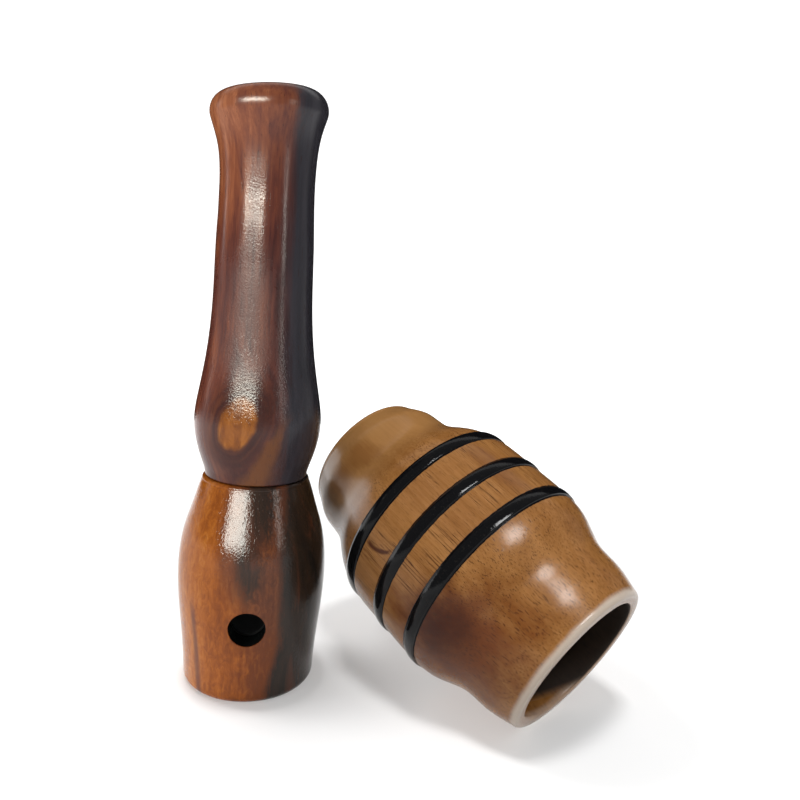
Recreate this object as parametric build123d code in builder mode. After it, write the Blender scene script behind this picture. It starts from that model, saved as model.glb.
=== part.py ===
import os
from math import cos, radians, sin, tan

from build123d import *

os.makedirs("parts", exist_ok=True)

# Driving dimensions in millimetres and degrees.
# The call stands on its foot at Z = 0, with its axis on Z and its side port towards -Y.

# End piece: the lower turned piece, with the foot, the exhaust bore and the tenon.
end_piece_height = 53.0
foot_radius = 16.35
foot_rounding = 2.2
foot_slope = 0.03
swell_radius = 18.2
swell_height = 29.5
crown_radius = 16.9
crown_drop = 13.0
shoulder_radius = 15.35
shoulder_drop = 8.0
end_rim_radius = 13.05
end_rim_rounding = 0.8
end_rim_slope = -0.39
exhaust_radius = 10.5
exhaust_depth = 33.0
throat_length = 7.0
port_radius = 4.4
port_height = 20.0
tenon_length = 18.0

# Mouthpiece: the upper turned piece, blown into at the lip.
mouthpiece_length = 90.3
bore_radius = 7.95
mouth_rounding = 0.6
socket_rim_radius = 12.4
socket_rim_rounding = 0.5
cheek_radius = 13.4
cheek_rise = 4.0
bulge_radius = 15.3
bulge_rise = 14.2
fall_radius = 14.55
fall_rise = 20.0
taper_radius = 13.0
taper_rise = 29.0
grip_radius = 11.75
grip_rise = 43.0
stem_radius = 11.44
waist_radius = 11.0
waist_drop = 21.3
neck_radius = 11.15
neck_drop = 16.1
flare_radius = 12.0
flare_drop = 10.2
lip_radius = 13.75
lip_drop = 4.6
lip_top_radius = 13.75
lip_rounding = 4.4
lip_lean = 6.2

# Voice: tone board, reed and wedge, carried by the tenon inside the mouthpiece.
shank_radius = 5.0
shank_length = 26.0
collar_length = 14.0
tongue_length = 33.5
tongue_inset = 0.4
tip_arch = 4.0
channel_radius = 2.6
channel_setback = 0.6
channel_tip_wall = 6.0
bed_depth = 1.6
bed_fall = 2.0
slot_floor = 2.5
slot_mouth = 4.0
slot_root = 3.0
reed_width = 12.5
reed_thickness = 0.36
reed_tip_arch = 2.5
wedge_width = 10.0
ring_section = 1.6
ring_rise = 8.5

# Barrel: the loose resonator, turned about its own axis, with three rings let into its swell.
barrel_length = 79.8
barrel_bore_radius = 17.5
barrel_socket_depth = 46.0
barrel_throat_radius = 14.0
barrel_rim_rounding = 1.4
barrel_mouth_rounding = 0.8
mouth_rim_radius = 21.1
mouth_rim_slope = 0.3
mouth_neck_radius = 22.9
mouth_corner_radius = 23.6
mouth_shoulder_radius = 27.0
far_rim_radius = 18.4
far_rim_slope = -0.46
far_neck_radius = 20.95
far_corner_radius = 21.6
far_shoulder_radius = 25.7
neck_run = 8.0
corner_run = 14.0
shoulder_run = 22.0
near_band_radius = 28.1
middle_band_radius = 28.15
far_band_radius = 27.65
band_width = 3.5
band_thickness = 1.7
band_proud = 0.45
band_crown = 0.35
band_pitch = 11.6

# The barrel stands beside the call, tipped down with its mouth rim on the floor.
mouth_centre_x = 76.8
mouth_centre_y = -30.1
barrel_heading = -50.6
barrel_tilt = 24.4

# Clearances.
seam_gap = 0.1
tenon_clearance = 0.06
shank_clearance = 0.03
collar_clearance = 0.35
groove_clearance = 0.05
reed_clearance = 0.05
wedge_clearance = 0.02
band_clearance = 0.02

call_length = end_piece_height + mouthpiece_length
tenon_radius = bore_radius - tenon_clearance
tenon_top = end_piece_height + tenon_length
collar_radius = bore_radius - collar_clearance
tongue_radius = collar_radius - tongue_inset
collar_top = tenon_top + collar_length
tongue_tip = collar_top + tongue_length

# End piece
ring_height = end_piece_height + ring_rise
ring_seat_radius = tenon_radius - ring_section
groove_half_width = ring_section / 2 + groove_clearance
throat_top = exhaust_depth + throat_length

with BuildPart() as end_piece:
    with BuildSketch(Plane.XZ):
        with BuildLine():
            Line((exhaust_radius, 0), (foot_radius - foot_rounding, 0))
            RadiusArc(
                (foot_radius - foot_rounding, 0), (foot_radius, foot_rounding), -foot_rounding
            )
            Spline(
                (foot_radius, foot_rounding),
                (swell_radius, swell_height),
                (crown_radius, end_piece_height - crown_drop),
                (shoulder_radius, end_piece_height - shoulder_drop),
                (end_rim_radius, end_piece_height - end_rim_rounding),
                tangents=((foot_slope, 1), (end_rim_slope, 1)),
            )
            RadiusArc(
                (end_rim_radius, end_piece_height - end_rim_rounding),
                (end_rim_radius - end_rim_rounding, end_piece_height),
                -end_rim_rounding,
            )
            Polyline(
                (end_rim_radius - end_rim_rounding, end_piece_height),
                (tenon_radius, end_piece_height),
                (tenon_radius, ring_height - groove_half_width),
                (ring_seat_radius - groove_clearance, ring_height - groove_half_width),
                (ring_seat_radius - groove_clearance, ring_height + groove_half_width),
                (tenon_radius, ring_height + groove_half_width),
                (tenon_radius, tenon_top),
                (shank_radius, tenon_top),
                (shank_radius, throat_top),
                (exhaust_radius, exhaust_depth),
                (exhaust_radius, 0),
            )
        make_face()
    revolve(axis=Axis.Z)
    with BuildSketch(Plane.XZ):
        with Locations((0, port_height)):
            Circle(port_radius)
    extrude(amount=swell_radius, mode=Mode.SUBTRACT)
end_piece.part.label = "end_piece"
export_step(end_piece.part, "parts/end_piece.step")

# Mouthpiece: round sections from the joint to the lip, which was shaped by hand and leans a little
socket_height = end_piece_height + seam_gap
waist_rise = mouthpiece_length - waist_drop
stem_rise = (grip_rise + waist_rise) / 2
mouthpiece_sections = (
    (seam_gap, socket_rim_radius, 0),
    (cheek_rise, cheek_radius, 0),
    (bulge_rise, bulge_radius, 0),
    (fall_rise, fall_radius, 0),
    (taper_rise, taper_radius, 0),
    (grip_rise, grip_radius, 0),
    (stem_rise, stem_radius, 0),
    (waist_rise, waist_radius, 0),
    (mouthpiece_length - neck_drop, neck_radius, lip_lean / 2),
    (mouthpiece_length - flare_drop, flare_radius, lip_lean),
    (mouthpiece_length - lip_drop, lip_radius, lip_lean),
    (mouthpiece_length, lip_top_radius, lip_lean),
)

with BuildPart() as mouthpiece:
    for rise, radius, lean in mouthpiece_sections:
        with BuildSketch(Plane((0, 0, end_piece_height + rise)).rotated((0, -lean, 0))):
            Circle(radius)
    loft()
    fillet(mouthpiece.faces().sort_by(Axis.Z)[0].outer_wire().edges(), socket_rim_rounding)
    fillet(mouthpiece.faces().sort_by(Axis.Z)[-1].outer_wire().edges(), lip_rounding)
    # Bore: one straight hole from the socket to the lip.
    with BuildSketch(Plane.XY.offset(socket_height)):
        Circle(bore_radius)
    extrude(amount=call_length, mode=Mode.SUBTRACT)
    fillet(mouthpiece.faces().sort_by(Axis.Z)[-1].inner_wires()[0].edges(), mouth_rounding)
mouthpiece.part.label = "mouthpiece"
export_step(mouthpiece.part, "parts/mouthpiece.step")

# Tenon ring: the rubber seal in the tenon's groove, pressed flat by the socket
with BuildPart() as tenon_ring:
    with BuildSketch(Plane.XZ):
        with Locations((tenon_radius - ring_section / 2, ring_height)):
            RectangleRounded(ring_section, ring_section, ring_section / 3)
    revolve(axis=Axis.Z)
tenon_ring.part.label = "tenon_ring"
export_step(tenon_ring.part, "parts/tenon_ring.step")

# Tone board: a round shank and collar, and a half-round tongue whose bed falls away from the reed
slot_bottom = tenon_top + slot_floor
bed_front = -bed_depth
bed_rise = (tongue_tip - slot_bottom) * tan(radians(bed_fall))
slot_front = bed_front - reed_thickness - reed_clearance
front_limit = -2 * bore_radius

with BuildPart() as tone_board:
    with BuildSketch(Plane.XZ):
        with BuildLine():
            Polyline(
                (0, tenon_top - shank_length),
                (shank_radius - shank_clearance, tenon_top - shank_length),
                (shank_radius - shank_clearance, tenon_top),
                (collar_radius, tenon_top),
                (collar_radius, collar_top),
                (tongue_radius, collar_top),
                (tongue_radius, tongue_tip),
                (0, tongue_tip),
                close=True,
            )
        make_face()
    revolve(axis=Axis.Z)
    # Reed slot through the collar and the flat bed along the tongue, seen from the side.
    with BuildSketch(Plane.YZ):
        with BuildLine():
            Polyline(
                (bed_front, slot_bottom),
                (bed_front + bed_rise, tongue_tip),
                (front_limit, tongue_tip),
                (front_limit, collar_top),
                (slot_front - slot_mouth, collar_top),
                (slot_front - slot_root, slot_bottom),
                close=True,
            )
        make_face()
    extrude(amount=bore_radius, both=True, mode=Mode.SUBTRACT)
    # Tip arched in front view.
    with BuildSketch(Plane.XZ):
        with BuildLine():
            ThreePointArc(
                (-bore_radius, tongue_tip - tip_arch), (0, tongue_tip), (bore_radius, tongue_tip - tip_arch)
            )
            Polyline(
                (bore_radius, tongue_tip - tip_arch),
                (bore_radius, tongue_tip + tip_arch),
                (-bore_radius, tongue_tip + tip_arch),
                (-bore_radius, tongue_tip - tip_arch),
            )
        make_face()
    extrude(amount=bore_radius, both=True, mode=Mode.SUBTRACT)
    # Tone channel: one straight bore that opens along the bed.
    with BuildSketch(Plane.XY.offset(tenon_top - shank_length)):
        with Locations((0, channel_setback)):
            Circle(channel_radius)
    extrude(amount=shank_length + collar_length + tongue_length - channel_tip_wall, mode=Mode.SUBTRACT)
tone_board.part.label = "tone_board"
export_step(tone_board.part, "parts/tone_board.step")

# Reed: a thin strip whose tail lies in the slot and whose tip stands clear of the bed
reed_tail = slot_bottom + reed_clearance
reed_back = bed_front - reed_clearance / 2

with BuildPart() as reed:
    with BuildSketch(Plane.XZ.offset(-reed_back)):
        with BuildLine():
            Polyline(
                (-reed_width / 2, tongue_tip - reed_tip_arch),
                (-reed_width / 2, reed_tail),
                (reed_width / 2, reed_tail),
                (reed_width / 2, tongue_tip - reed_tip_arch),
            )
            ThreePointArc(
                (reed_width / 2, tongue_tip - reed_tip_arch),
                (0, tongue_tip),
                (-reed_width / 2, tongue_tip - reed_tip_arch),
            )
        make_face()
    extrude(amount=reed_thickness)
reed.part.label = "reed"
export_step(reed.part, "parts/reed.step")

# Reed wedge: the cork that holds the reed's tail down in the slot
wedge_back = slot_front
wedge_bottom = slot_bottom + reed_clearance

with BuildPart() as reed_wedge:
    with BuildSketch(Plane.YZ):
        with BuildLine():
            Polyline(
                (wedge_back, wedge_bottom),
                (wedge_back, collar_top),
                (slot_front - slot_mouth + wedge_clearance, collar_top),
                (slot_front - slot_root + wedge_clearance, wedge_bottom),
                close=True,
            )
        make_face()
    extrude(amount=wedge_width / 2, both=True)
reed_wedge.part.label = "reed_wedge"
export_step(reed_wedge.part, "parts/reed_wedge.step")

# Barrel axis: it points out of the mouth, down to the floor
tilt = radians(barrel_tilt)
heading = radians(barrel_heading)
barrel_axis = Vector(cos(heading) * cos(tilt), sin(heading) * cos(tilt), -sin(tilt))
barrel_side = Vector(-sin(heading), cos(heading), 0)
mouth_land = mouth_rim_radius - barrel_rim_rounding
mouth_height = mouth_land * cos(tilt) + barrel_rim_rounding * (1 - sin(tilt))
mouth_centre = Vector(mouth_centre_x, mouth_centre_y, mouth_height)
barrel_centre = mouth_centre - barrel_axis * (barrel_length / 2)
barrel_plane = Plane(origin=barrel_centre, x_dir=barrel_side, z_dir=barrel_side.cross(barrel_axis))
barrel_turning = Axis(barrel_centre, barrel_axis)

# Barrel: half profile in its own plane, radius across and axis up towards the mouth
mouth_end = barrel_length / 2
far_end = -barrel_length / 2
far_land = far_rim_radius - barrel_rim_rounding
bore_land = barrel_bore_radius + barrel_mouth_rounding
socket_bottom = mouth_end - barrel_socket_depth
throat_step = barrel_bore_radius - barrel_throat_radius
band_places = {
    "far": (far_band_radius, -band_pitch),
    "middle": (middle_band_radius, 0),
    "near": (near_band_radius, band_pitch),
}

with BuildPart() as barrel:
    with BuildSketch(barrel_plane):
        with BuildLine():
            Polyline(
                (far_land, far_end),
                (barrel_throat_radius, far_end),
                (barrel_throat_radius, socket_bottom - throat_step),
                (barrel_bore_radius, socket_bottom),
                (barrel_bore_radius, mouth_end - barrel_mouth_rounding),
            )
            RadiusArc(
                (barrel_bore_radius, mouth_end - barrel_mouth_rounding),
                (bore_land, mouth_end),
                barrel_mouth_rounding,
            )
            Line((bore_land, mouth_end), (mouth_land, mouth_end))
            RadiusArc(
                (mouth_land, mouth_end),
                (mouth_rim_radius, mouth_end - barrel_rim_rounding),
                barrel_rim_rounding,
            )
            Spline(
                (mouth_rim_radius, mouth_end - barrel_rim_rounding),
                (mouth_neck_radius, mouth_end - neck_run),
                (mouth_corner_radius, mouth_end - corner_run),
                (mouth_shoulder_radius, mouth_end - shoulder_run),
                *reversed(band_places.values()),
                (far_shoulder_radius, far_end + shoulder_run),
                (far_corner_radius, far_end + corner_run),
                (far_neck_radius, far_end + neck_run),
                (far_rim_radius, far_end + barrel_rim_rounding),
                tangents=((mouth_rim_slope, -1), (far_rim_slope, -1)),
            )
            RadiusArc(
                (far_rim_radius, far_end + barrel_rim_rounding),
                (far_land, far_end),
                barrel_rim_rounding,
            )
        make_face()
    revolve(axis=barrel_turning)
    for radius, place in band_places.values():
        with BuildSketch(barrel_plane):
            with Locations((radius + band_proud - band_clearance, place)):
                Rectangle(2 * band_thickness, band_width + 2 * band_clearance)
        revolve(axis=barrel_turning, mode=Mode.SUBTRACT)
barrel.part.label = "barrel"
export_step(barrel.part, "parts/barrel.step")

# Band rings: three black rubber rings seated in the barrel's grooves, slightly proud
for side, (radius, place) in band_places.items():
    crest_radius = radius + band_proud
    edge_radius = crest_radius - band_crown
    seat_radius = crest_radius - band_thickness
    with BuildPart() as band_ring:
        with BuildSketch(barrel_plane):
            with BuildLine():
                ThreePointArc(
                    (edge_radius, place - band_width / 2),
                    (crest_radius, place),
                    (edge_radius, place + band_width / 2),
                )
                Polyline(
                    (edge_radius, place + band_width / 2),
                    (seat_radius, place + band_width / 2),
                    (seat_radius, place - band_width / 2),
                    (edge_radius, place - band_width / 2),
                )
            make_face()
        revolve(axis=barrel_turning)
    band_ring.part.label = f"band_ring_{side}"
    export_step(band_ring.part, f"parts/band_ring_{side}.step")

print("barrel mouth centre", tuple(mouth_centre), "axis", tuple(barrel_axis))
print("reed pivot", (0, reed_back, reed_tail))
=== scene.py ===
from math import cos, radians, sin

import bmesh
import bpy
from mathutils import Matrix, Vector

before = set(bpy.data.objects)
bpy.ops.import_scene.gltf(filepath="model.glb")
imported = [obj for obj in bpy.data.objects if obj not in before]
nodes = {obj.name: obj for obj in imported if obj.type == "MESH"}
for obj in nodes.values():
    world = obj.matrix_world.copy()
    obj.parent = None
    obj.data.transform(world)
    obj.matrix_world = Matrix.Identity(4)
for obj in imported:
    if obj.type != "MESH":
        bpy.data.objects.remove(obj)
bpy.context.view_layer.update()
scene = bpy.context.scene
scene.view_settings.view_transform = "Standard"
print("frame loaded:", len(nodes), "pieces")

# camera, from the call's and the barrel's outlines in the photograph
photoCamera = {
    "place": (0.00825, -0.1838, 0.1046),
    "turn": 8.21,  # degrees to the right of +Y
    "dip": 9.59,
    "roll": 4.11,
    "lens": 33.75,
    "sensor": 36.0,
    "nearest": 0.005,
}


def setCamera(spec):
    turn, dip, roll = (radians(spec[key]) for key in ("turn", "dip", "roll"))
    forward = Vector((sin(turn) * cos(dip), cos(turn) * cos(dip), -sin(dip)))
    level = Vector((cos(turn), -sin(turn), 0))
    rise = level.cross(forward)
    right = level * cos(roll) + rise * sin(roll)
    up = rise * cos(roll) - level * sin(roll)
    data = bpy.data.cameras.new("photoCamera")
    data.sensor_fit = "HORIZONTAL"
    data.sensor_width = spec["sensor"]
    data.lens = spec["lens"]
    data.clip_start = spec["nearest"]
    camera = bpy.data.objects.new("photoCamera", data)
    scene.collection.objects.link(camera)
    turned = Matrix((right, up, -forward)).transposed().to_4x4()
    camera.matrix_world = Matrix.Translation(spec["place"]) @ turned
    scene.camera = camera


setCamera(photoCamera)
print("camera set")


# a socket that takes part in sums; node() makes every other kind of node
class Wire:
    def __init__(self, tree, socket=None):
        self.tree = tree
        self.socket = socket

    def node(self, kind, settings=None, sockets=None, out=0):
        made = self.tree.nodes.new("ShaderNode" + kind)
        for name, value in (settings or {}).items():
            if name == "stops":
                marks = made.color_ramp.elements
                marks[0].position, marks[0].color = value[0][0], (*value[0][1], 1)
                marks[1].position, marks[1].color = value[-1][0], (*value[-1][1], 1)
                for place, colour in value[1:-1]:
                    marks.new(place).color = (*colour, 1)
            else:
                setattr(made, name, value)
        for key, value in (sockets or {}).items():
            socket = made.inputs[key]
            if isinstance(value, Wire):
                self.tree.links.new(value.socket, socket)
            elif socket.type == "RGBA" and len(value) == 3:
                socket.default_value = (*value, 1)
            else:
                socket.default_value = value
        return Wire(self.tree, made.outputs[out] if made.outputs else None)

    def sum(self, operation, first, second):
        return self.node("Math", {"operation": operation}, {0: first, 1: second})

    def __add__(self, other):
        return self.sum("ADD", self, other)

    def __radd__(self, other):
        return self.sum("ADD", other, self)

    def __sub__(self, other):
        return self.sum("SUBTRACT", self, other)

    def __rsub__(self, other):
        return self.sum("SUBTRACT", other, self)

    def __mul__(self, other):
        return self.sum("MULTIPLY", self, other)

    def __rmul__(self, other):
        return self.sum("MULTIPLY", other, self)

    def __truediv__(self, other):
        return self.sum("DIVIDE", self, other)

    def __rtruediv__(self, other):
        return self.sum("DIVIDE", other, self)

    def __abs__(self):
        return self.node("Math", {"operation": "ABSOLUTE"}, {0: self})

    def __neg__(self):
        return self.sum("MULTIPLY", self, -1.0)


perMetre = 1000.0  # mm
endless = 1e6  # mm, a size so long that it leaves its direction out
noiseMiddle = 0.5


def openMaterial(name):
    material = bpy.data.materials.new(name)
    material.use_nodes = True
    material.node_tree.nodes.clear()
    return material, Wire(material.node_tree)


def closeMaterial(wire, sockets):
    shader = wire.node("BsdfPrincipled", {}, sockets)
    wire.node("OutputMaterial", {}, {"Surface": shader})


def millimetres(wire):
    place = wire.node("TexCoord", {}, {}, "Object")
    return place.node("VectorMath", {"operation": "SCALE"}, {0: place, "Scale": perMetre})


def along(at, direction):
    return at.node("VectorMath", {"operation": "DOT_PRODUCT"}, {0: at, 1: direction}, 1)


def axes(at):
    return along(at, (1, 0, 0)), along(at, (0, 1, 0)), along(at, (0, 0, 1))


def join(x, y, z):
    return x.node("CombineXYZ", {}, {0: x, 1: y, 2: z})


def shift(at, centre):
    return at.node("VectorMath", {"operation": "SUBTRACT"}, {0: at, 1: centre})


# distance from a centre, in sizes of an oval round it
def reach(at, centre, sizes):
    away = shift(at, centre)
    scaled = at.node("VectorMath", {"operation": "DIVIDE"}, {0: away, 1: sizes})
    return at.node("VectorMath", {"operation": "LENGTH"}, {0: scaled}, 1)


# a noise is given as its squeeze along the third axis, scale per mm, detail, roughness and bend
def grain(at, noise):
    squeeze, scale, detail, rough, bend = noise
    drawn = at.node("VectorMath", {"operation": "MULTIPLY"}, {0: at, 1: (1, 1, squeeze)})
    return at.node(
        "TexNoise",
        {},
        {"Vector": drawn, "Scale": scale, "Detail": detail, "Roughness": rough, "Distortion": bend},
    )


# a noise as a swing to both sides
def swing(noise, amount):
    return (noise - noiseMiddle) * amount


def blend(noises, shares):
    total, *others = [noise * share for noise, share in zip(noises, shares)]
    for other in others:
        total = total + other
    return total


def fade(value, run):
    return value.node(
        "MapRange",
        {"interpolation_type": "SMOOTHSTEP"},
        {"Value": value, "From Min": run[0], "From Max": run[1]},
    )


def fadeOut(value, run):
    return 1.0 - fade(value, run)


def between(value, rise, fall):
    return fade(value, rise) * fadeOut(value, fall)


def tint(value, stops):
    return value.node("ValToRGB", {"stops": stops}, {"Fac": value})


def mix(share, first, second):
    return share.node("Mix", {"data_type": "RGBA"}, {0: share, 6: first, 7: second}, 2)


def bump(height, distance):
    return height.node("Bump", {}, {"Distance": distance, "Height": height})


# mouthpiece: red-brown wood with painted shade and a bluish painted reflection along its right side,
# with one golden knot near the joint
mouthpieceWood = {
    "streaks": [
        (0.30, (0.032, 0.009, 0.008)),
        (0.42, (0.066, 0.018, 0.014)),
        (0.54, (0.114, 0.031, 0.018)),
        (0.66, (0.200, 0.058, 0.024)),
        (0.80, (0.330, 0.116, 0.048)),
    ],
    "shares": (0.34, 0.40, 0.26),  # of streak, blotch and line in the colour
    "waistRun": (96.0, 124.0),  # mm up, where the wood turns lighter
    "waistWarm": 0.13,
    "lipRun": (126.0, 136.0),
    "lipWarm": 0.06,
    "paintedShadeFrom": -2.0,  # mm across, painted shade darker to the right of it
    "paintedShadeSlope": 0.010,
    "shade": 0.04,
    # painted shade with a bluish painted reflection, for the right side
    "dark": [(0.35, (0.025, 0.024, 0.031)), (0.65, (0.042, 0.039, 0.048))],
    "paintedShadeEdge": (4.4, 8.2),  # mm across the call, where the painted shade of the right side starts
    "paintedShadeWave": (4.0, 3.0),  # mm, broad and fine
    "knot": (-4.1, -14.8, 68.2),
    "knotSize": (4.5, 9.0, 6.2),
    "knotSlant": 0.2,
    "knotWave": 0.35,  # from here to haloRun in sizes of the knot
    "knotEdge": (0.80, 1.10),
    "bendRun": (0.9, 3.0),
    "haloRun": (1.2, 2.3),
    "bend": 0.55,
    "haloShare": 0.9,
    "ringCount": 2.6,
    "ringDrift": 0.05,
    "knotGold": [
        (0.32, (0.120, 0.032, 0.004)),
        (0.50, (0.215, 0.064, 0.006)),
        (0.68, (0.310, 0.105, 0.014)),
    ],
    "knotRings": [
        (0.34, (0.028, 0.009, 0.008)),
        (0.50, (0.042, 0.013, 0.010)),
        (0.66, (0.080, 0.024, 0.012)),
    ],
    # painted shade under the bulge, down to the joint
    "joint": (0.042, 0.013, 0.010),
    "jointRun": (55.0, 67.0),
    "jointShare": 0.5,
    "gold": (0.140, 0.046, 0.010),
    "goldShare": 0.8,
    "goldFoot": (0.6, 55.0),  # mm, across and up
    "goldSlant": 0.42,
    "goldWave": 3.0,
    "goldEdge": (0.4, 1.9),
    "goldTop": 66.0,
    "goldSpread": (0.0, 14.0),  # mm below the top, where the streak widens
    "goldWiden": 1.6,
    "goldEnd": (63.0, 72.0),
    "frontRun": (-8.0, -3.0),
    "pore": (0.035, 0.012, 0.009),
    "poreRun": (0.60, 0.74),
    "poreShare": 0.6,
    "poreDepth": 0.2,
    "heldSides": ((-13.0, -8.0), (1.0, 6.0)),
    "heldHeights": ((73.0, 86.0), (94.0, 112.0)),
    "heldWave": 10.0,
    "thinLip": (119.0, 128.0),
    "thinLow": (70.0, 86.0),
    "thinRight": (-1.0, 6.0),
    "thinDull": 0.08,
    "glintRun": (0.52, 0.66),
    "glintShare": 0.35,
    "roughness": 0.14,
    "gripWear": 0.36,
    "peel": 0.000034,  # m
    "peelDull": 0.04,
    "peelShare": 1.5,
    "peelWorn": 0.7,
    "peelCalm": 0.9,
    "calmRun": (84.0, 92.0),
    "ior": 1.35,
    "noise": {
        "swirl": (1.0, 0.22, 3.0, 0.55, 0.0),
        "streak": (0.045, 0.30, 4.0, 0.55, 0.5),
        "line": (0.03, 1.5, 3.0, 0.6, 0.0),
        "blotch": (0.22, 0.20, 3.0, 0.6, 1.2),
        "wander": (0.08, 0.22, 3.0, 0.55, 0.0),
        "rings": (1.0, 1.0, 2.0, 0.55, 0.0),
        "figure": (0.4, 0.45, 3.0, 0.5, 0.8),
        "pores": (0.06, 3.2, 2.0, 0.55, 0.0),
        "glint": (0.5, 1.6, 2.0, 0.55, 0.0),
        "peel": (1.0, 2.4, 1.5, 0.6, 0.0),
    },
}


def makeMouthpieceWood(spec):
    material, wire = openMaterial("mouthpieceWood")
    at = millimetres(wire)
    x, y, z = axes(at)
    noise = spec["noise"]
    knotX, _, knotZ = spec["knot"]
    swirl = grain(at, noise["swirl"])
    upright = join(x - (z - knotZ) * spec["knotSlant"], y, z)
    away = reach(upright, spec["knot"], spec["knotSize"]) + swing(swirl, spec["knotWave"])
    # the grain bends round the knot
    near = fadeOut(away, spec["bendRun"])
    flow = join(x - (x - knotX) * near * spec["bend"], y, z)
    streak, line, blotch = (grain(flow, noise[name]) for name in ("streak", "line", "blotch"))
    toneAndShade = fade(z, spec["waistRun"]) * spec["waistWarm"] + fade(z, spec["lipRun"]) * spec["lipWarm"]
    # painted shade: the colour darkens to the right, away from the lamps
    toneAndShade = toneAndShade - (x - spec["paintedShadeFrom"]) * spec["paintedShadeSlope"] - spec["shade"]
    colour = tint(blend((streak, blotch, line), spec["shares"]) + toneAndShade, spec["streaks"])
    # rings round the knot, painted shade under the bulge down to the joint, and painted shade with a
    # bluish painted reflection down the right side
    drift = spec["ringDrift"]
    rings = grain(join(away * spec["ringCount"], x * drift, z * drift), noise["rings"])
    halo = fadeOut(away, spec["haloRun"]) * spec["haloShare"]
    colour = mix(halo, colour, tint(rings, spec["knotRings"]))
    # painted shade under the bulge, down to the joint
    colour = mix(fadeOut(z, spec["jointRun"]) * spec["jointShare"], colour, spec["joint"])
    broad, fine = spec["paintedShadeWave"]
    wander = grain(at, noise["wander"])
    # painted shade and a bluish painted reflection down the right side
    dark = fade(x + swing(wander, broad) + swing(line, fine), spec["paintedShadeEdge"])
    colour = mix(dark, colour, tint(streak, spec["dark"]))
    # the gold streak beside the knot, and the knot itself
    footX, footZ = spec["goldFoot"]
    slant = abs(x - (z - footZ) * spec["goldSlant"] - footX + swing(swirl, spec["goldWave"]))
    slant = slant / (1.0 + fade(spec["goldTop"] - z, spec["goldSpread"]) * spec["goldWiden"])
    gold = fadeOut(slant, spec["goldEdge"]) * fadeOut(z, spec["goldEnd"]) * fadeOut(y, spec["frontRun"])
    colour = mix(gold * spec["goldShare"], colour, spec["gold"])
    figure = grain(at, noise["figure"])
    colour = mix(fadeOut(away, spec["knotEdge"]), colour, tint(figure, spec["knotGold"]))
    pores = fade(grain(flow, noise["pores"]), spec["poreRun"])
    colour = mix(pores * spec["poreShare"], colour, spec["pore"])
    # the lacquer is dulled where fingers hold the waist, but for a few bright specks
    low, high = spec["heldHeights"]
    held = between(x, *spec["heldSides"])
    worn = fade(z, low) * fadeOut(z + swing(swirl, spec["heldWave"]), high) * held
    # it lies thinner on the lip and low on the right side
    lowRight = fadeOut(z, spec["thinLow"]) * fade(x, spec["thinRight"])
    thin = fade(z, spec["thinLip"]) * spec["thinDull"] + lowRight * spec["thinDull"]
    glint = fade(grain(at, noise["glint"]), spec["glintRun"])
    wear = worn * (1.0 - glint * spec["glintShare"]) * spec["gripWear"]
    peel = grain(at, noise["peel"])
    calm = fade(z, spec["calmRun"]) * spec["peelCalm"]
    skin = peel * (spec["peelShare"] + worn * spec["peelWorn"] - calm)
    closeMaterial(
        wire,
        {
            "Base Color": colour,
            "Roughness": spec["roughness"] + wear + thin + peel * spec["peelDull"],
            "Normal": bump(skin - pores * spec["poreDepth"], spec["peel"]),
            "IOR": spec["ior"],
        },
    )
    return material
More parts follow.
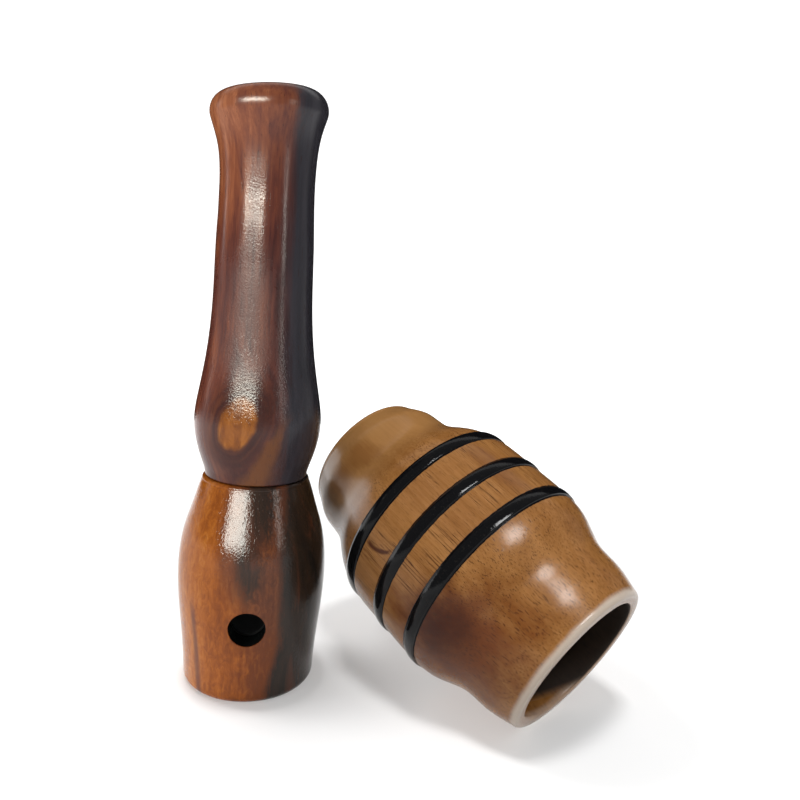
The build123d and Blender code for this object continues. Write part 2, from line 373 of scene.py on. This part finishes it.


# end piece: golden wood, with dark heartwood in a wedge at the front, and painted shade in the same dark
# colours down its right side
endPieceWood = {
    "streaks": [
        (0.30, (0.120, 0.028, 0.003)),
        (0.44, (0.210, 0.053, 0.005)),
        (0.56, (0.300, 0.086, 0.009)),
        (0.70, (0.400, 0.140, 0.022)),
    ],
    "shares": (0.36, 0.18, 0.46),  # of streak, line and mottle in the colour
    "paintedShadeFrom": -9.0,  # mm across, painted shade darker to the right of it
    "paintedShadeSlope": 0.017,
    # heartwood colours; the same colours paint the shade down the right side
    "heartwoodAndShade": [
        (0.35, (0.014, 0.011, 0.009)),
        (0.55, (0.026, 0.016, 0.011)),
        (0.72, (0.075, 0.026, 0.014)),
    ],
    "rippleWave": (6.0, 2.5),  # mm, broad and fine
    "rippleShare": 0.5,
    "rag": 5.0,  # mm
    "frontRun": (-9.0, -3.0),
    "wedgeRun": (22.0, 37.0),  # mm up, where the wedge widens
    "wedgeWidth": 3.2,
    "wedgeEdge": (-2.0, 1.6),
    "wedgeShare": 0.95,
    "leanRun": (34.0, 50.0),
    "lean": 2.0,
    "pointRun": (21.0, 31.0),
    "haloEdge": (0.5, 4.5),
    "haloLean": 0.2,
    "haloShare": 0.65,
    "haloShares": (0.5, 0.5),  # of streak and mottle
    "shadedSideEdge": 7.6,  # mm across, where the painted shade of the right side starts
    "shadedSideRun": (-1.2, 1.2),
    "shadedSideRag": 0.4,
    "flareRun": (2.0, 16.0),
    "flare": 3.0,
    "flame": [
        (0.35, (0.050, 0.017, 0.010)),
        (0.52, (0.100, 0.031, 0.013)),
        (0.68, (0.180, 0.056, 0.017)),
    ],
    "flameShares": (0.35, 0.25, 0.40),  # of streak, line and mottle
    "flameEdge": 0.6,
    "flameRun": (-2.4, 2.4),
    "flameRise": (12.0, 30.0),
    "flameLow": 0.2,
    "flameHigh": 0.8,
    "flameShare": 0.9,
    "leftLine": (-12.3, 14.7),  # mm, across and up
    "leftSlant": 0.10,
    "leftWave": 1.5,
    "leftEdge": (0.10, 1.1),
    "leftEnd": (20.0, 27.0),
    "leftFront": (-8.0, -4.0),
    "leftShare": 0.75,
    "leftColour": (0.085, 0.026, 0.018),
    "pore": (0.070, 0.022, 0.008),
    "poreRun": (0.60, 0.74),
    "poreShare": 0.35,
    "poreDepth": 0.2,
    # painted shade in the bore, on the tenon and inside the port
    "bore": (0.004, 0.005, 0.005),
    "boreRun": (11.2, 12.2),  # mm from the axis
    "boreDull": 0.6,
    "skinRun": (16.9, 17.3),
    "port": (0, -17.7, 20.0),
    "portRadius": 5.2,
    "portRun": (0.98, 1.0),
    "roughness": 0.09,
    "peel": 0.000055,  # m
    "peelDull": 0.05,
    "ior": 1.33,
    "noise": {
        "streak": (0.10, 0.22, 4.0, 0.55, 0.6),
        "line": (0.06, 1.3, 3.0, 0.6, 0.0),
        "mottle": (0.50, 0.60, 4.0, 0.62, 1.5),
        "wander": (0.16, 0.24, 4.0, 0.6, 0.0),
        "pores": (0.09, 3.0, 2.0, 0.55, 0.0),
        "peel": (1.0, 2.0, 1.5, 0.6, 0.0),
    },
}


def makeEndPieceWood(spec):
    material, wire = openMaterial("endPieceWood")
    at = millimetres(wire)
    x, y, z = axes(at)
    noise = spec["noise"]
    streak, line, mottle = (grain(at, noise[name]) for name in ("streak", "line", "mottle"))
    # painted shade: the colour darkens to the right, away from the lamps
    sideShade = (x - spec["paintedShadeFrom"]) * spec["paintedShadeSlope"]
    colour = tint(blend((streak, line, mottle), spec["shares"]) - sideShade, spec["streaks"])
    broad, fine = spec["rippleWave"]
    wander = grain(at, noise["wander"])
    ripple = swing(wander, broad) + swing(line, fine)
    halfRipple = ripple * spec["rippleShare"]
    rag = swing(mottle, spec["rag"])
    front = fadeOut(y, spec["frontRun"])
    # dark heartwood: a ragged wedge that ends above the port; the whole right side is painted shade in
    # the heartwood colours
    width = fade(z, spec["wedgeRun"]) * spec["wedgeWidth"]
    off = abs(x - fade(z, spec["leanRun"]) * spec["lean"] + halfRipple + rag) - width
    point = fade(z + rag, spec["pointRun"]) * front
    wedge = fadeOut(off, spec["wedgeEdge"]) * point
    halo = fadeOut(off + x * spec["haloLean"], spec["haloEdge"]) * point
    flare = fadeOut(z, spec["flareRun"]) * spec["flare"]
    side = fade(x - spec["shadedSideEdge"] + flare + halfRipple + rag * spec["shadedSideRag"], spec["shadedSideRun"])
    rise = spec["flameLow"] + fade(z, spec["flameRise"]) * spec["flameHigh"]
    flame = fade(x - spec["flameEdge"] + ripple + rag, spec["flameRun"]) * rise
    flameWood = tint(blend((streak, line, mottle), spec["flameShares"]), spec["flame"])
    colour = mix(flame * spec["flameShare"], colour, flameWood)
    haloWood = tint(blend((streak, mottle), spec["haloShares"]), spec["flame"])
    colour = mix(halo * spec["haloShare"], colour, haloWood)
    heartwoodAndShade = tint(streak, spec["heartwoodAndShade"])
    colour = mix(wedge * spec["wedgeShare"], colour, heartwoodAndShade)
    # painted shade down the whole right side
    colour = mix(side, colour, heartwoodAndShade)
    # thin dark line low on the left
    lineX, lineZ = spec["leftLine"]
    slant = abs(x - lineX + (z - lineZ) * spec["leftSlant"] + swing(wander, spec["leftWave"]))
    mark = fadeOut(slant, spec["leftEdge"]) * fadeOut(z, spec["leftEnd"]) * fadeOut(y, spec["leftFront"])
    colour = mix(mark * spec["leftShare"], colour, spec["leftColour"])
    pores = fade(grain(at, noise["pores"]), spec["poreRun"])
    colour = mix(pores * spec["poreShare"], colour, spec["pore"])
    # painted shade: the tenon, the bore and the inside of the port are painted near black
    radius = reach(at, (0, 0, 0), (1, 1, endless))
    port = reach(at, spec["port"], (spec["portRadius"], endless, spec["portRadius"]))
    inside = fadeOut(radius, spec["boreRun"])
    portWallShade = fadeOut(radius, spec["skinRun"]) * fadeOut(port, spec["portRun"]) * front
    colour = mix(inside, mix(portWallShade, colour, spec["bore"]), spec["bore"])
    peel = grain(at, noise["peel"])
    closeMaterial(
        wire,
        {
            "Base Color": colour,
            "Roughness": spec["roughness"] + peel * spec["peelDull"] + inside * spec["boreDull"],
            "Normal": bump(peel - pores * spec["poreDepth"], spec["peel"]),
            "IOR": spec["ior"],
        },
    )
    return material


# barrel: honey-coloured wood with fine pores along its axis
barrelWood = {
    "mouth": (76.8, -30.1, 18.762),
    "axis": (0.5780387, -0.7037158, -0.4131044),
    "side": (0.7727, 0.6347, 0.0),
    "up": (0.2622, -0.3192, 0.9107),
    "streaks": [
        (0.30, (0.130, 0.046, 0.011)),
        (0.44, (0.195, 0.080, 0.020)),
        (0.57, (0.255, 0.114, 0.034)),
        (0.72, (0.325, 0.158, 0.055)),
    ],
    "shares": (0.45, 0.25, 0.30),  # of streak, line and cloud in the colour
    "farNeck": (0.300, 0.152, 0.052),
    "farRun": (57.0, 68.0),  # mm from the mouth, as in the other runs
    "farShare": 0.6,
    # redder and darker wood low on the mouth's neck and beside the near ring, its darkness partly
    # painted shade on the side turned from the light, and two darker places on the far neck
    "patches": (
        {
            "colour": (0.105, 0.024, 0.003),
            "place": (47.0, -33.0, 24.0),
            "sizes": (20.0, 20.0, 17.0),
            "wave": (1.2, 0.0),  # in cloud and line
            "run": (0.3, 1.3),
            "share": 0.9,
        },
        {
            "colour": (0.036, 0.006, 0.001),
            "place": (41.8, -30.8, 28.0),
            "sizes": (8.0, 8.0, 9.5),
            "wave": (1.6, 0.0),
            "run": (0.1, 1.5),
            "share": 0.95,
        },
        {
            "colour": (0.150, 0.055, 0.013),
            "place": (25.6, 4.0, 57.8),
            "sizes": (4.2, 4.2, 3.4),
            "wave": (2.0, 0.6),
            "run": (0.3, 1.5),
            "share": 0.6,
        },
        {
            "colour": (0.150, 0.055, 0.013),
            "place": (22.0, 4.0, 50.5),
            "sizes": (4.0, 4.0, 4.5),
            "wave": (2.0, 0.6),
            "run": (0.3, 1.5),
            "share": 0.6,
        },
    ),
    "pore": (0.036, 0.012, 0.004),
    "poreShare": 0.7,
    "poreDepth": 0.25,
    "poreEnd": (56.0, 64.0),
    "dashRun": (0.55, 0.65),
    "strokeRun": (0.54, 0.64),
    "strokeCloud": (0.40, 0.60),
    "swellRun": (24.0, 30.0),
    "swellDash": 0.6,
    "knotLine": (0.036, 0.006, 0.001),
    "knotTop": (2.2, 47.7),  # mm, up and from the mouth
    "knotBow": 0.085,
    "knotWave": 1.0,
    "knotEdge": (0.25, 1.0),
    "knotSpan": ((41.8, 43.0), (48.2, 50.0)),
    "knotSide": (-22.0, -18.0),
    "knotShare": 0.9,
    # painted reflection: a pale sheen round the mouth's rim
    "rim": (0.430, 0.370, 0.310),
    "rimRun": (0.7, 2.2),
    "rimWave": 1.0,
    "rimRadii": (18.8, 20.2),
    "rimLow": 0.35,
    "rimHigh": 0.5,
    # painted shade in the bore
    "bore": (0.006, 0.004, 0.003),
    "boreRadius": 17.5,
    "boreEdge": (0.1, 0.4),
    "boreShare": 0.96,
    "boreDull": 0.5,
    "throatRadius": 14.0,
    "throatRun": (60.0, 62.0),
    "litUp": 0.3,
    "litAcross": 0.25,
    "litFrom": 3.0,
    "litRun": (0.5, 3.5),
    "black": (0.004, 0.004, 0.005),
    "bands": (28.3, 39.9, 51.5),
    "bandHalf": 1.77,
    "bandWave": 0.35,
    "bandEdge": (0.05, 0.2),
    "roughness": 0.19,
    "peel": 0.000020,  # m
    "peelShare": 0.6,
    "peelDull": 0.06,
    "ior": 1.26,
    "noise": {
        "streak": (0.06, 0.16, 4.0, 0.55, 0.5),
        "line": (0.04, 1.6, 3.0, 0.6, 0.0),
        "cloud": (1.0, 0.11, 3.0, 0.55, 0.0),
        "dash": (0.12, 4.0, 2.0, 0.6, 0.0),
        "stroke": (0.022, 3.2, 2.0, 0.6, 0.0),
        "wave": (1.0, 0.8, 3.0, 0.55, 0.0),
        "peel": (1.0, 1.1, 2.0, 0.6, 0.0),
    },
}


def makeBarrelWood(spec):
    material, wire = openMaterial("barrelWood")
    world = millimetres(wire)
    fromMouth = shift(world, spec["mouth"])
    depth = -along(fromMouth, spec["axis"])
    across, height = along(fromMouth, spec["side"]), along(fromMouth, spec["up"])
    at = join(across, height, depth)
    noise = spec["noise"]
    streak, line, cloud = (grain(at, noise[name]) for name in ("streak", "line", "cloud"))
    colour = tint(blend((streak, line, cloud), spec["shares"]), spec["streaks"])
    colour = mix(fade(depth, spec["farRun"]) * spec["farShare"], colour, spec["farNeck"])
    for patch in spec["patches"]:
        broad, fine = patch["wave"]
        away = reach(world, patch["place"], patch["sizes"]) + swing(cloud, broad) + swing(line, fine)
        colour = mix(fadeOut(away, patch["run"]) * patch["share"], colour, patch["colour"])
    # short pores on the necks, longer ones between the rings, none near the far rim
    dash = fade(grain(at, noise["dash"]), spec["dashRun"])
    stroke = fade(grain(at, noise["stroke"]), spec["strokeRun"])
    swell = fade(depth, spec["swellRun"])
    pores = dash * (1.0 - swell * spec["swellDash"]) + stroke * swell * fade(cloud, spec["strokeCloud"])
    pores = pores * fadeOut(depth, spec["poreEnd"])
    colour = mix(pores * spec["poreShare"], colour, spec["pore"])
    # small knot: one dark curved line between two rings
    knotUp, knotDepth = spec["knotTop"]
    gone = knotDepth - depth
    bow = height - knotUp - gone * gone * spec["knotBow"]
    span = between(depth, *spec["knotSpan"]) * fadeOut(across, spec["knotSide"])
    curve = fadeOut(abs(bow + swing(line, spec["knotWave"])), spec["knotEdge"]) * span
    colour = mix(curve * spec["knotShare"], colour, spec["knotLine"])
    # painted reflection: a pale sheen round the rim at the mouth; painted shade in the bore
    radius = reach(at, (0, 0, 0), (1, 1, endless))
    edge = spec["rimLow"] + fade(radius, spec["rimRadii"]) * spec["rimHigh"]
    rim = fadeOut(depth + swing(cloud, spec["rimWave"]), spec["rimRun"]) * edge
    colour = mix(rim, colour, spec["rim"])
    # painted shade: the bore is painted near black, but near the mouth, low on one side, where light
    # reaches in
    lit = depth + height * spec["litUp"] + across * spec["litAcross"] + spec["litFrom"]
    narrow = fade(depth, spec["throatRun"]) * (spec["boreRadius"] - spec["throatRadius"])
    bore = fadeOut(radius + narrow - spec["boreRadius"], spec["boreEdge"]) * fade(lit, spec["litRun"])
    colour = mix(bore * spec["boreShare"], colour, spec["bore"])
    # the black of the rings runs a little over the edges of their grooves
    wave = grain(at, noise["wave"])
    for place in spec["bands"]:
        gap = abs(depth - place) - spec["bandHalf"] - swing(wave, spec["bandWave"])
        colour = mix(fadeOut(gap, spec["bandEdge"]), colour, spec["black"])
    peel = grain(at, noise["peel"])
    closeMaterial(
        wire,
        {
            "Base Color": colour,
            "Roughness": spec["roughness"] + peel * spec["peelDull"] + bore * spec["boreDull"],
            "Normal": bump(peel * spec["peelShare"] - pores * spec["poreDepth"], spec["peel"]),
            "IOR": spec["ior"],
        },
    )
    return material


# rings: thick black lacquer with a soft ripple, rounded off at both edges
ringBlack = {
    "colour": (0.0025, 0.0025, 0.003),
    "worn": (0.008, 0.007, 0.006),
    "wornRun": (0.55, 0.75),
    "wornDull": 0.06,
    "first": 28.3,  # mm from the mouth to the middle of the first ring
    "halfPitch": 5.8,
    "edge": (1.25, 1.75),
    "edgeDrop": 10.0,
    "roughness": 0.07,
    "ripple": 0.000030,  # m
    "fineShare": 0.6,
    "ior": 1.24,
    "noise": {
        "broad": (1.0, 0.9, 2.5, 0.55, 0.0),
        "fine": (1.0, 2.6, 1.0, 0.55, 0.0),
        "wear": (1.0, 1.8, 3.0, 0.55, 0.0),
    },
}


def makeRingBlack(spec, mouth, axis):
    material, wire = openMaterial("ringBlack")
    at = millimetres(wire)
    noise = spec["noise"]
    depth = -along(shift(at, mouth), axis)
    gap = wire.sum("PINGPONG", depth - spec["first"], spec["halfPitch"])
    ripple = grain(at, noise["broad"]) + grain(at, noise["fine"]) * spec["fineShare"]
    worn = fade(grain(at, noise["wear"]), spec["wornRun"])
    closeMaterial(
        wire,
        {
            "Base Color": mix(worn, spec["colour"], spec["worn"]),
            "Roughness": spec["roughness"] + worn * spec["wornDull"],
            "Normal": bump(ripple - fade(gap, spec["edge"]) * spec["edgeDrop"], spec["ripple"]),
            "IOR": spec["ior"],
        },
    )
    return material


# voice: moulded tone board, milky reed, cork wedge and rubber seal, inside the call
voiceFinish = {
    "tone_board": {
        "finish": "boardPlastic",
        "stops": [(0.4, (0.030, 0.030, 0.033)), (0.6, (0.050, 0.050, 0.054))],
        "noise": (1.0, 3.0, 4.0, 0.6, 0.0),
        "roughness": 0.3,
        "depth": 0.00001,  # m
    },
    "reed": {
        "finish": "reedPlastic",
        "stops": [(0.4, (0.78, 0.77, 0.72)), (0.6, (0.86, 0.85, 0.81))],
        "noise": (1.0, 2.0, 4.0, 0.6, 0.0),
        "roughness": 0.35,
        "depth": 0.000005,
    },
    "reed_wedge": {
        "finish": "corkWedge",
        "stops": [(0.3, (0.20, 0.10, 0.045)), (0.5, (0.47, 0.29, 0.15)), (0.7, (0.60, 0.41, 0.24))],
        "noise": (1.0, 1.4, 4.0, 0.6, 0.0),
        "roughness": 0.75,
        "depth": 0.0001,
    },
    "tenon_ring": {
        "finish": "sealRubber",
        "stops": [(0.4, (0.012, 0.012, 0.013)), (0.6, (0.025, 0.025, 0.026))],
        "noise": (1.0, 4.0, 4.0, 0.6, 0.0),
        "roughness": 0.45,
        "depth": 0.00001,
    },
}
speckDull = 0.1


def makeVoiceFinish(spec):
    material, wire = openMaterial(spec["finish"])
    speck = grain(millimetres(wire), spec["noise"])
    closeMaterial(
        wire,
        {
            "Base Color": tint(speck, spec["stops"]),
            "Roughness": spec["roughness"] + speck * speckDull,
            "Normal": bump(speck, spec["depth"]),
        },
    )
    return material


finishes = {
    "mouthpiece": makeMouthpieceWood(mouthpieceWood),
    "end_piece": makeEndPieceWood(endPieceWood),
    "barrel": makeBarrelWood(barrelWood),
}
for name, spec in voiceFinish.items():
    finishes[name] = makeVoiceFinish(spec)
ringFinish = makeRingBlack(ringBlack, barrelWood["mouth"], barrelWood["axis"])
for name, node in nodes.items():
    node.data.materials.clear()
    node.data.materials.append(finishes.get(name, ringFinish))
print("finishes made")

# studio: pale floor that sweeps up behind the object, and soft lamps
studio = {
    "floorSides": (-1.3, 1.6),
    "floorFront": -1.6,
    "wallPlace": 0.9,
    "wallHeight": 2.2,
    "sweepRadius": 0.5,
    "sweepSteps": 16,
    "floorColour": (0.80, 0.80, 0.80),
    "glow": 0.70,
    "glowCentre": (0.04, 0.0, 0.0),
    "glowSizes": (1.3, 1.0, 1.0),
    "glowRun": (0.09, 0.30),  # from the centre, where the floor turns plain white
    "white": (1, 1, 1),
    "fill": 0.34,
    "sets": {
        "call": ("mouthpiece", "end_piece", "tone_board", "reed", "reed_wedge", "tenon_ring"),
        "mouth": ("mouthpiece", "tone_board", "reed", "reed_wedge", "tenon_ring"),
        "foot": ("end_piece",),
        "barrel": ("barrel", "band_ring_far", "band_ring_middle", "band_ring_near"),
    },
    "flag": {
        "from": (-0.62, 0.30, 0.002),
        "to": (0.62, 0.30, 0.45),
        "colour": (0.02, 0.02, 0.023),
    },
}


def growEdge(shape, edge, step):
    grown = bmesh.ops.extrude_edge_only(shape, edges=[edge])["geom"]
    moved = [piece for piece in grown if isinstance(piece, bmesh.types.BMVert)]
    bmesh.ops.translate(shape, verts=moved, vec=step)
    return next(piece for piece in grown if isinstance(piece, bmesh.types.BMEdge))


def addStage(name, shape):
    mesh = bpy.data.meshes.new(name)
    shape.to_mesh(mesh)
    shape.free()
    piece = bpy.data.objects.new(name, mesh)
    scene.collection.objects.link(piece)
    return piece


def makeFloor(spec):
    shape = bmesh.new()
    front = [shape.verts.new((side, spec["floorFront"], 0)) for side in spec["floorSides"]]
    corner = growEdge(shape, shape.edges.new(front), (0, spec["wallPlace"] - spec["floorFront"], 0))
    growEdge(shape, corner, (0, 0, spec["wallHeight"]))
    bmesh.ops.bevel(
        shape,
        geom=[corner],
        offset=spec["sweepRadius"],
        offset_type="OFFSET",
        affect="EDGES",
        segments=spec["sweepSteps"],
        profile=0.5,
        material=-1,
    )
    bmesh.ops.recalc_face_normals(shape, faces=shape.faces)
    floor = addStage("floor", shape)
    for face in floor.data.polygons:
        face.use_smooth = True
    material, wire = openMaterial("paleFloor")
    away = reach(wire.node("TexCoord", {}, {}, "Object"), spec["glowCentre"], spec["glowSizes"])
    rays = ("Is Camera Ray", "Is Glossy Ray", "Is Transmission Ray")
    seen, mirrored, passed = (wire.node("LightPath", {}, {}, ray) for ray in rays)
    strength = (seen + mirrored + passed) * (fade(away, spec["glowRun"]) * spec["glow"])
    glow = wire.node("Emission", {}, {"Color": spec["white"], "Strength": strength})
    plain = wire.node("BsdfDiffuse", {}, {"Color": spec["floorColour"]})
    both = wire.node("AddShader", {}, {0: plain, 1: glow})
    wire.node("OutputMaterial", {}, {"Surface": both})
    floor.data.materials.append(material)
    return floor


# a dark flag behind the call, seen only in the gloss of its edges
def makeFlag(spec):
    low, high = Vector(spec["from"]), Vector(spec["to"])
    shape = bmesh.new()
    bmesh.ops.create_grid(shape, x_segments=1, y_segments=1, size=0.5)
    bmesh.ops.rotate(shape, verts=shape.verts, matrix=Matrix.Rotation(radians(90), 3, "X"))
    bmesh.ops.scale(shape, verts=shape.verts, vec=(high.x - low.x, 1, high.z - low.z))
    bmesh.ops.translate(shape, verts=shape.verts, vec=(low + high) / 2)
    flag = addStage("flag", shape)
    material, wire = openMaterial("flagBlack")
    black = wire.node("BsdfDiffuse", {}, {"Color": spec["colour"]})
    wire.node("OutputMaterial", {}, {"Surface": black})
    flag.data.materials.append(material)
    flag.visible_camera = flag.visible_diffuse = flag.visible_shadow = False


def makeWorld(spec):
    world = bpy.data.worlds.new("paleRoom")
    scene.world = world
    world.use_nodes = True
    world.node_tree.nodes.clear()
    wire = Wire(world.node_tree)
    light = wire.node("Background", {}, {"Color": spec["white"], "Strength": spec["fill"]})
    wire.node("OutputWorld", {}, {"Surface": light})


# what each lamp lights and throws shadows of, and whether it shows as gloss or as plain light
lamps = {
    "leftBox": {
        "from": (-0.295, -0.568, 0.281),
        "to": (0.0, 0.0, 0.10),
        "size": (0.54, 0.135),
        "watts": 11.0,
        "colour": (0.98, 1.0, 0.88),
        "lights": ("mouth",),
        "gloss": True,
        "plain": False,
    },
    "lowBox": {
        "from": (-0.30, -0.565, 0.219),
        "to": (0.0, 0.0, 0.10),
        "size": (0.40, 0.26),
        "watts": 10.6,
        "colour": (0.97, 1.0, 0.92),
        "lights": ("foot",),
        "gloss": True,
        "plain": False,
    },
    "leftSoft": {
        "from": (-0.42, -0.45, 0.25),
        "to": (0.0, 0.0, 0.08),
        "size": (0.40, 0.30),
        "watts": 3.0,
        "lights": ("call",),
        "gloss": False,
        "plain": True,
    },
    "rightStrip": {
        "from": (0.46, -0.445, 0.214),
        "to": (0.0, 0.0, 0.09),
        "size": (0.05, 0.25),
        "watts": 0.44,
        "colour": (1.0, 0.95, 0.88),
        "lights": ("call",),
        "gloss": True,
        "plain": True,
    },
    "sideStrip": {
        "from": (-0.57, 0.185, 0.20),
        "to": (0.0, 0.0, 0.09),
        "size": (0.05, 0.25),
        "watts": 0.11,
        "lights": ("call",),
        "gloss": True,
        "plain": True,
    },
    "topBox": {
        "from": (0.186, -0.325, 0.553),
        "to": (0.05, -0.02, 0.04),
        "size": (0.20, 0.20),
        "watts": 4.4,
        "lights": ("barrel",),
        "gloss": True,
        "plain": False,
    },
    "topSoft": {
        "from": (0.186, -0.325, 0.553),
        "to": (0.05, -0.02, 0.04),
        "size": (0.20, 0.20),
        "watts": 2.9,
        "lights": ("barrel",),
        "gloss": False,
        "plain": True,
    },
    "edgeBox": {
        "from": (-0.241, 0.213, -0.04),
        "to": (0.025, 0.005, 0.05),
        "size": (0.50, 0.40),
        "watts": 2.2,
        "lights": ("barrel",),
        "shadows": ("barrel",),
        "gloss": True,
        "plain": False,
    },
    "barrelFill": {
        "from": (-0.35, -0.20, 0.60),
        "to": (0.05, -0.01, 0.04),
        "size": (0.60, 0.50),
        "watts": 2.4,
        "lights": ("barrel",),
        "gloss": False,
        "plain": True,
    },
    "overBox": {
        "from": (0.03, 0.03, 0.75),
        "to": (0.03, 0.02, 0.0),
        "size": (0.70, 0.60),
        "watts": 1.2,
        "lights": ("call", "barrel"),
        "gloss": False,
        "plain": True,
    },
    "floorCall": {
        "from": (-0.06, 0.03, 0.70),
        "to": (0.03, 0.0, 0.0),
        "size": (0.12, 0.12),
        "watts": 2.8,
        "lights": ("floor",),
        "shadows": ("call",),
        "gloss": False,
        "plain": True,
    },
    "floorLeft": {
        "from": (-0.30, 0.08, 0.70),
        "to": (0.03, 0.0, 0.0),
        "size": (0.12, 0.12),
        "watts": 0.8,
        "lights": ("floor",),
        "shadows": ("call", "barrel"),
        "gloss": False,
        "plain": True,
    },
    "floorBarrel": {
        "from": (0.02, -0.18, 0.70),
        "to": (0.03, 0.0, 0.0),
        "size": (0.12, 0.12),
        "watts": 2.2,
        "lights": ("floor",),
        "shadows": ("barrel",),
        "gloss": False,
        "plain": True,
    },
}


def gather(name, groups, sets):
    held = bpy.data.collections.new(name)
    for group in groups:
        for piece in sets[group]:
            held.objects.link(piece)
    return held


def makeLamp(name, spec, sets):
    data = bpy.data.lights.new(name, "AREA")
    data.shape = "RECTANGLE"
    data.size, data.size_y = spec["size"]
    data.energy = spec["watts"]
    data.color = spec.get("colour", studio["white"])
    lamp = bpy.data.objects.new(name, data)
    scene.collection.objects.link(lamp)
    lamp.location = spec["from"]
    aim = Vector(spec["to"]) - Vector(spec["from"])
    lamp.rotation_euler = aim.to_track_quat("-Z", "Y").to_euler()
    lamp.light_linking.receiver_collection = gather(name + "Lit", spec["lights"], sets)
    if "shadows" in spec:
        lamp.light_linking.blocker_collection = gather(name + "Shadows", spec["shadows"], sets)
    lamp.visible_glossy = spec["gloss"]
    lamp.visible_diffuse = spec["plain"]


floor = makeFloor(studio)
makeFlag(studio["flag"])
makeWorld(studio)
litSets = {group: [nodes[name] for name in names] for group, names in studio["sets"].items()}
litSets["floor"] = [floor]
for name, spec in lamps.items():
    makeLamp(name, spec, litSets)
print("studio lit")
